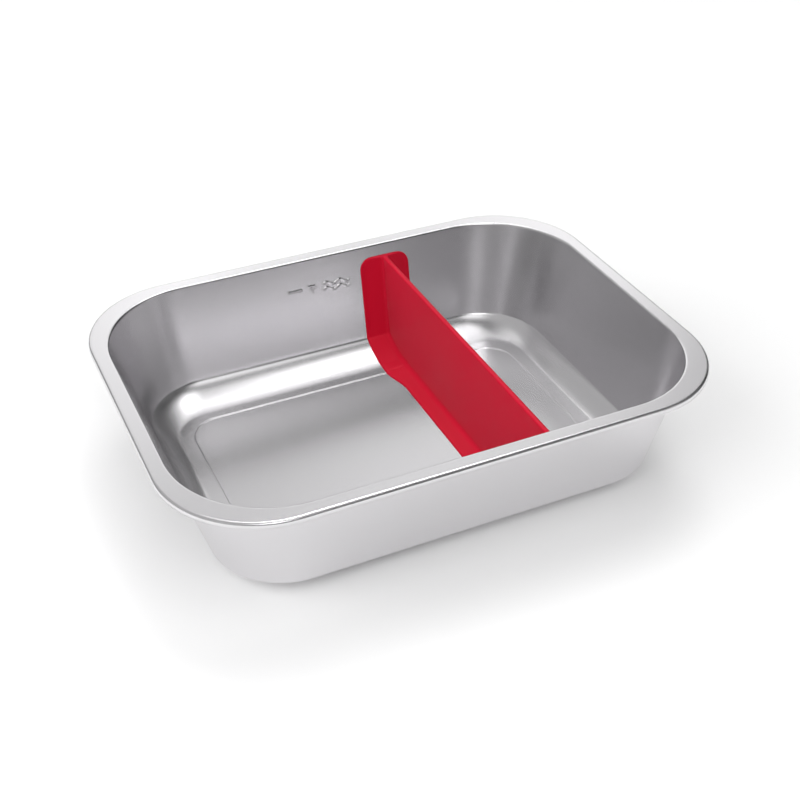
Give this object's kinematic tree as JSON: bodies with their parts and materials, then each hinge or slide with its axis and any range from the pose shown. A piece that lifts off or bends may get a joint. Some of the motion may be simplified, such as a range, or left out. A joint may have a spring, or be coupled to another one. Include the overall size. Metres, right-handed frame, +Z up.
{
  "type": "divided tray",
  "caption": "Deep-drawn rectangular steel tray with rounded corners, a flat rim with a turned-down lip and a pressed fill mark, and a lift-out silicone divider standing across it.",
  "frame": {"origin": "centre of the base, on the surface that the tray stands on", "axes": "+X along the tray's long side, +Y across it towards the wall with the fill mark, +Z up out of the tray's mouth"},
  "size_m": [0.2224, 0.166, 0.05],
  "materials": {
    "steel": "satin stainless steel",
    "silicone": "matt red silicone"
  },
  "bodies": {
    "tray": {"steel_tray": "steel"},
    "divider": {"silicone_divider": "silicone"}
  },
  "joints": [
    {"name": "divider_lift", "type": "slide", "parent": "tray", "child": "divider", "axis": [0, 0, 1], "range_m": [0, 0.06]}
  ]
}
